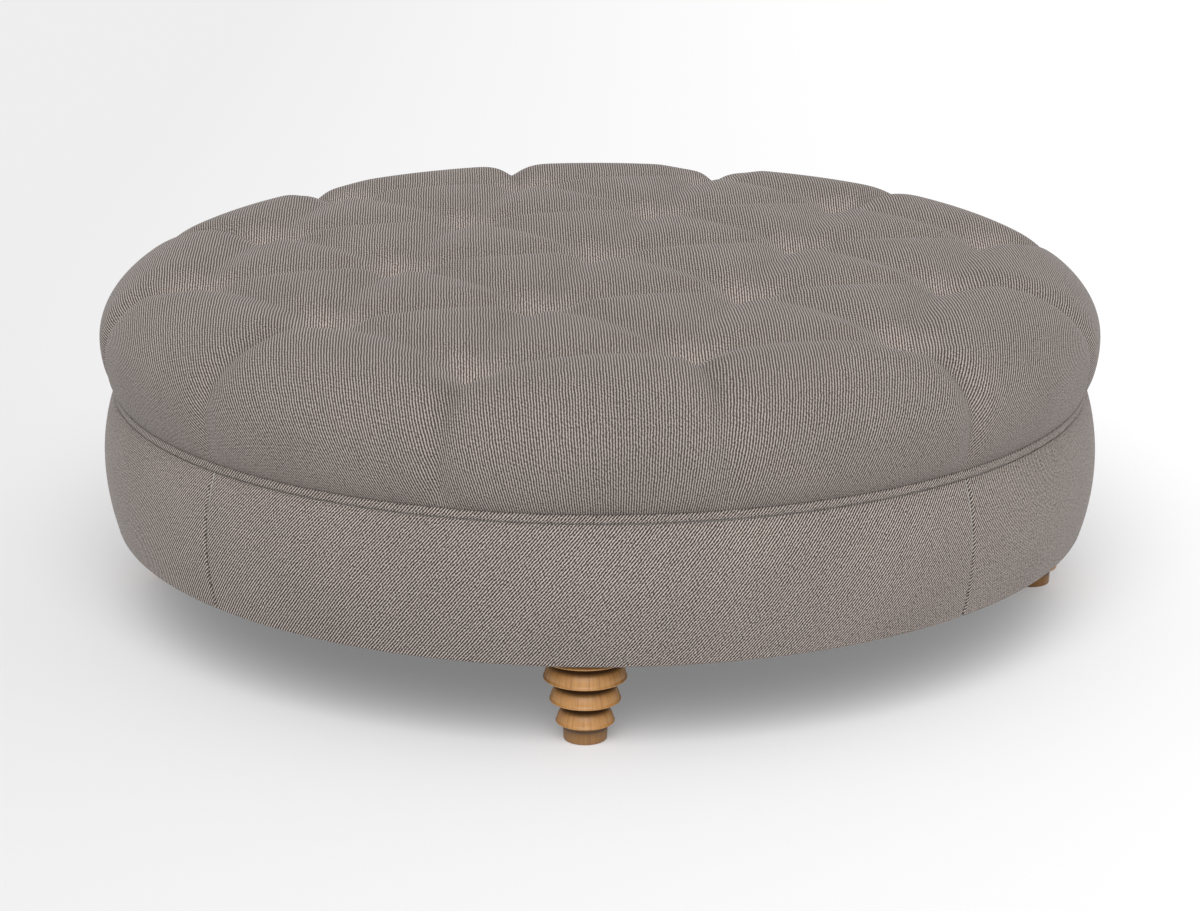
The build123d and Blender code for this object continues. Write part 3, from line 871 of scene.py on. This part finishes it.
def dress_nodes():
    """Materials of the inner pieces that stay as they are."""
    slots = {row["node"]: row["material_slot"] for row in frame["record"]["subparts"]}
    made = {
        "pine": sawn_wood("pine", (222, 190, 142), (196, 156, 104), (160.0, 160.0, 8.0)),
        "beech": sawn_wood("beech", (206, 168, 126), (178, 134, 92), (90.0, 220.0, 220.0)),
        "plywood": sawn_wood("plywood", (214, 180, 134), (184, 146, 98), (12.0, 140.0, 900.0)),
        "foam": speckled("foam", (232, 220, 176), (214, 198, 146), 0.002, 0.95),
        "wadding": speckled("wadding", (236, 236, 232), (212, 212, 208), 0.004, 0.98),
        "twine": speckled("twine", (206, 198, 176), (168, 158, 132), 0.0012, 0.7),
        "fibre": speckled("fibre", (118, 84, 60), (84, 58, 42), 0.001, 0.8),
        "zinc": speckled("zinc", (206, 208, 210), (170, 172, 176), 0.003, 0.35, 1.0),
    }
    for name, node in nodes.items():
        if slots[name] in made:
            node.data.materials.clear()
            node.data.materials.append(made[slots[name]])
    return made


# Legs

foot_radius = 0.0221
foot_flare = 0.0008
foot_height = 0.0155
foot_rounding = 0.0015
ring_first_radius = 0.0301
ring_radius_step = 0.00627
ring_first_height = 0.020
ring_pitch = 0.0237
ring_undercut = 0.0205
ring_undercut_drop = 0.0055
ring_edge_radius = 0.0008
ring_flank_bulge = 0.0024
leg_ring_count = 4
leg_height = leg_high.z
leg_top_step = 0.0015
leg_columns = 128
leg_grain_shift = 0.37

# Painted shade on the wood: how much on the foot, its neck, under a ring, round its edge, down its flank
# and on top
foot_painted_shade = 0.45
neck_painted_shade_start, neck_painted_shade_rise = 0.6, 1.8
under_painted_shade_fall = 0.6
edge_painted_shade = 0.3
flank_painted_shade_start, flank_painted_shade_rise = 0.44, 5
top_painted_shade = 0.5


def leg_profile():
    """Turned outline in radius and level from the middle of the foot up, and the painted shade at each
    point.
    """
    points = [(0.0, 0.0), (foot_radius * 0.5, 0.0)]
    for turn in np.radians(np.linspace(-90, 0, 6)):
        points.append((
            foot_radius - foot_rounding + foot_rounding * math.cos(turn),
            foot_rounding + foot_rounding * math.sin(turn),
        ))
    painted_shades = [foot_painted_shade] * len(points)
    neck = (foot_radius + foot_flare, foot_height)
    for share in (0.35, 0.7, 0.9):
        points.append((
            foot_radius + foot_flare * share, foot_rounding + (foot_height - foot_rounding) * share
        ))
        painted_shades.append(foot_painted_shade + max(share - neck_painted_shade_start, 0) * neck_painted_shade_rise)
    for k in range(leg_ring_count):
        rim = ring_first_radius + ring_radius_step * k
        level = ring_first_height + ring_pitch * k
        under = (rim - ring_edge_radius, level - ring_edge_radius)
        for share in np.linspace(0, 1, 5)[:-1]:
            points.append((
                neck[0] + (under[0] - neck[0]) * share, neck[1] + (under[1] - neck[1]) * share,
            ))
            painted_shades.append(1 - under_painted_shade_fall * share)
        for turn in np.radians(np.linspace(-90, 90, 9)):
            points.append((
                rim - ring_edge_radius + ring_edge_radius * math.cos(turn),
                level + ring_edge_radius * math.sin(turn),
            ))
            painted_shades.append(max(edge_painted_shade - (math.degrees(turn) + 90) / 180, 0))
        if k + 1 < leg_ring_count:
            over = points[-1]
            neck = (rim + ring_radius_step - ring_undercut, level + ring_pitch - ring_undercut_drop)
            for share in np.linspace(0, 1, 10)[1:-1]:
                bulge = 4 * ring_flank_bulge * share * (1 - share)
                points.append((
                    over[0] + (neck[0] - over[0]) * share + bulge,
                    over[1] + (neck[1] - over[1]) * share + bulge,
                ))
                painted_shades.append(min(max(share - flank_painted_shade_start, 0) * flank_painted_shade_rise, 1))
    points += [(points[-1][0] - leg_top_step, leg_height), (0.0, leg_height)]
    painted_shades += [top_painted_shade, top_painted_shade]
    return np.array(points), np.array(painted_shades)


def legs():
    """Four turned legs, each with its own grain."""
    profile, painted_shades = leg_profile()
    length = way_along(profile)
    angles = np.linspace(0, 2 * math.pi, leg_columns, endpoint=False)
    faces, places = grid_faces(len(profile), leg_columns, closed=True)
    # Painted shade for each ring of points, the same all round the leg
    groove = np.repeat(painted_shades, leg_columns)
    material = oak("oak")
    for number, (side, heading) in enumerate(sides.items()):
        centre = np.array([math.cos(math.radians(heading)), math.sin(math.radians(heading))]) * leg_circle
        points = turned(profile[:, 0][:, None], profile[:, 1][:, None], angles[None, :], centre)
        around = places[:, 1] / leg_columns * 2 * math.pi * ring_first_radius + number * leg_grain_shift
        coordinates = np.column_stack([around, length[places[:, 0]]])
        piece = make_piece(f"turned_leg_{side}", points, faces, coordinates, {"groove": groove})
        piece.data.materials.append(material)
        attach(piece, "root")
        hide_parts(f"leg_{side}")


# Underside

dust_rings = 24
dust_columns = 144
dust_thickness = 0.0006
dust_gap = 0.0004
dust_sag = 0.004
dust_sag_power = 0.8
dust_pucker = 0.0004
dust_pucker_count = 36
dust_wave = 0.0006
dust_wave_length = 0.2
dust_wave_seed = 5
staple_count = 60
staple_margin = 0.008
staple_width = 0.010
staple_wire = 0.0009
staple_section = [(-1, 0), (-0.8, -1), (0.8, -1), (1, 0)]


def dust_cloth():
    """Thin bonded cloth under the frame, sagging a little between its staples."""
    low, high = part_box("dust_cover")
    radius = high.x
    columns = dust_columns
    points = [(0.0, 0.0, 0.0)]
    for i in range(1, dust_rings + 1):
        r = radius * i / dust_rings
        for j in range(columns):
            a = 2 * math.pi * j / columns
            points.append((r * math.cos(a), r * math.sin(a), 0.0))
    points = np.array(points)
    away = np.hypot(points[:, 0], points[:, 1]) / radius
    turn = np.arctan2(points[:, 1], points[:, 0])
    sag = dust_sag * np.clip(1 - away**2, 0, 1) ** dust_sag_power
    pucker = dust_pucker * np.clip(away, 0, 1) ** 6 * np.cos(turn * dust_pucker_count)
    wave = dust_wave * smooth_noise(points, dust_wave_length, dust_wave_seed) * (1 - away**4)
    points[:, 2] = low.z + dust_gap - sag + pucker + wave
    faces = [(0, 1 + (j + 1) % columns, 1 + j) for j in range(columns)]
    for i in range(dust_rings - 1):
        a, b = 1 + i * columns, 1 + (i + 1) * columns
        faces += [
            (a + j, a + (j + 1) % columns, b + (j + 1) % columns, b + j) for j in range(columns)
        ]
    piece = make_piece("dust_cloth", points, faces, corner_values(faces, points[:, :2]))
    thicken(piece, dust_thickness, 1)
    piece.data.materials.append(speckled("dust_cloth", (44, 44, 46), (26, 26, 28), 0.0009, 0.9))
    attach(piece, "root")
    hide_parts("dust_cover")


def staples(material):
    """Flat wire staples that hold the dust cloth's edge."""
    low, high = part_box("dust_cover")
    radius = high.x - staple_margin
    points = []
    faces = []
    for k in range(staple_count):
        angle = 2 * math.pi * (k + 0.5) / staple_count
        out = np.array([math.cos(angle), math.sin(angle), 0])
        along = np.array([-out[1], out[0], 0])
        a = len(points)
        b = a + 4
        for end in (-1, 1):
            for across, drop in staple_section:
                points.append(
                    out * (radius + across * staple_wire) + along * end * staple_width / 2
                    + np.array([0, 0, low.z + staple_wire * drop])
                )
        faces += [(a + i, a + (i + 1) % 4, b + (i + 1) % 4, b + i) for i in range(4)]
        faces += [(a + 3, a + 2, a + 1, a), (b, b + 1, b + 2, b + 3)]
    piece = make_piece("staples", points, faces)
    piece.data.polygons.foreach_set("use_smooth", [False] * len(faces))
    piece.data.materials.append(material)
    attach(piece, "root")


# Studio

camera_distance = 3.836
camera_elevation = 17.16
camera_heading = -88.27
camera_aim_level = 0.147
camera_far = 60
picture_width = 1200
focal_pixels = 3352
sensor = 36.0
floor_size = 14.0
floor_fade_reach = 0.9
# Painted light falloff: the floor darker to the left and brighter to the right
floor_left = (231, 231, 232)
floor_right = (254, 254, 255)
floor_glow = 0.21
background = (245, 245, 246)
even_colour = (1.0, 0.995, 0.99, 1)
even_strength = 0.607
lamp_strength = 2.03
lamp_softness = 50
lamp_height = 49.0
lamp_heading = 0.0


def camera():
    """Camera at the photograph's angle."""
    data = bpy.data.cameras.new("camera")
    data.sensor_width = sensor
    data.lens = focal_pixels / picture_width * sensor
    data.clip_end = camera_far
    view = bpy.data.objects.new("camera", data)
    bpy.context.scene.collection.objects.link(view)
    up, turn = math.radians(camera_elevation), math.radians(camera_heading)
    view.location = (
        camera_distance * math.cos(up) * math.cos(turn),
        camera_distance * math.cos(up) * math.sin(turn),
        camera_aim_level + camera_distance * math.sin(up),
    )
    view.rotation_euler = (math.radians(90) - up, 0, turn + math.radians(90))
    bpy.context.scene.camera = view


def floor():
    """Pale studio floor with painted light, a little brighter to the right, whose shadow stays light under
    a glow seen only by the camera.
    """
    size = floor_size
    piece = make_piece(
        "floor", [(-size, -size, 0), (size, -size, 0), (size, size, 0), (-size, size, 0)], [(0, 1, 2, 3)]
    )
    material, tree, shader, add, sums, mix = node_set("floor")
    place = add("ShaderNodeSeparateXYZ", {0: add("ShaderNodeTexCoord").outputs["Object"]}).outputs[0]
    share = add("ShaderNodeMapRange", {0: place, 1: -floor_fade_reach, 2: floor_fade_reach}).outputs[0]
    colour = mix(share, linear(*floor_left), linear(*floor_right))
    tree.links.new(colour, shader.inputs["Base Color"])
    shader.inputs["Roughness"].default_value = 0.9
    shader.inputs["Specular IOR Level"].default_value = 0.0
    glow = add("ShaderNodeEmission", {"Color": colour, "Strength": 1.0}).outputs[0]
    seen = sums("MULTIPLY", add("ShaderNodeLightPath").outputs["Is Camera Ray"], floor_glow)
    join = add("ShaderNodeMixShader", {0: seen, 1: shader.outputs[0], 2: glow})
    tree.links.new(join.outputs[0], tree.nodes["Material Output"].inputs["Surface"])
    piece.data.materials.append(material)


def lights():
    """Even pale surroundings, and one wide soft lamp from the front and above."""
    world = bpy.data.worlds.new("studio")
    bpy.context.scene.world = world
    world.use_nodes = True
    world.node_tree.nodes.clear()
    add = node_adder(world.node_tree)
    even = add("ShaderNodeBackground", {"Color": even_colour, "Strength": even_strength}).outputs[0]
    plain = add("ShaderNodeBackground", {"Color": linear(*background), "Strength": 1.0}).outputs[0]
    path = add("ShaderNodeLightPath").outputs
    seen = path["Is Camera Ray"]
    for ray in ("Is Glossy Ray", "Is Transmission Ray"):
        seen = add("ShaderNodeMath", {0: seen, 1: path[ray]}, operation="MAXIMUM").outputs[0]
    join = add("ShaderNodeMixShader", {0: seen, 1: even, 2: plain}).outputs[0]
    add("ShaderNodeOutputWorld", {"Surface": join})
    lamp = bpy.data.lights.new("softbox", "SUN")
    lamp.energy = lamp_strength
    lamp.angle = math.radians(lamp_softness)
    lamp_object = bpy.data.objects.new("softbox", lamp)
    bpy.context.scene.collection.objects.link(lamp_object)
    lamp_object.rotation_euler = (math.radians(90 - lamp_height), 0, math.radians(lamp_heading))


camera()
floor()
lights()
finishes = dress_nodes()
tufted_cushion()
wadding_layer(finishes["wadding"])
welt()
side_panels()
legs()
dust_cloth()
staples(finishes["zinc"])
bpy.context.scene.view_settings.view_transform = "Standard"
